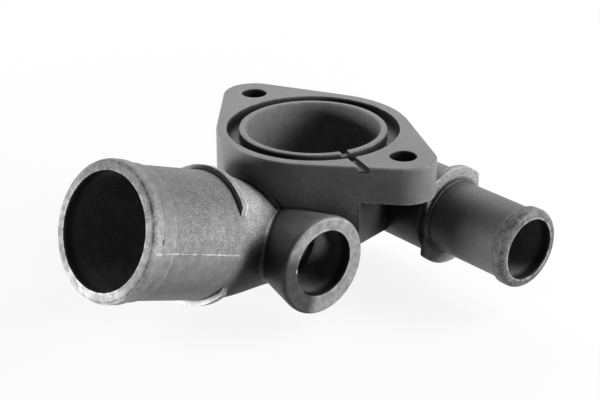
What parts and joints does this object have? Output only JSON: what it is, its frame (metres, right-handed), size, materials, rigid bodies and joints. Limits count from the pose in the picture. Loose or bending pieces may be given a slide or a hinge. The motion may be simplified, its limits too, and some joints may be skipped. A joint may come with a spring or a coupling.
{
  "type": "coolant flange",
  "caption": "Moulded coolant outlet flange with an oval bolted plate, round throat with seal groove, a large and a small hose spigot and a sensor port.",
  "frame": {"origin": "centre of the throat on the mating face", "axes": "+Z out of the mating face, towards the engine; +X along the line of the two bolts and out of the small spigot; the large spigot points towards -Y and rises towards +Z"},
  "size_m": [0.0945, 0.1072, 0.0492],
  "materials": {
    "housing": "dull moulded surface, mottled and slightly grainy"
  },
  "bodies": {
    "root": {"flange_housing": "housing"}
  },
  "joints": []
}
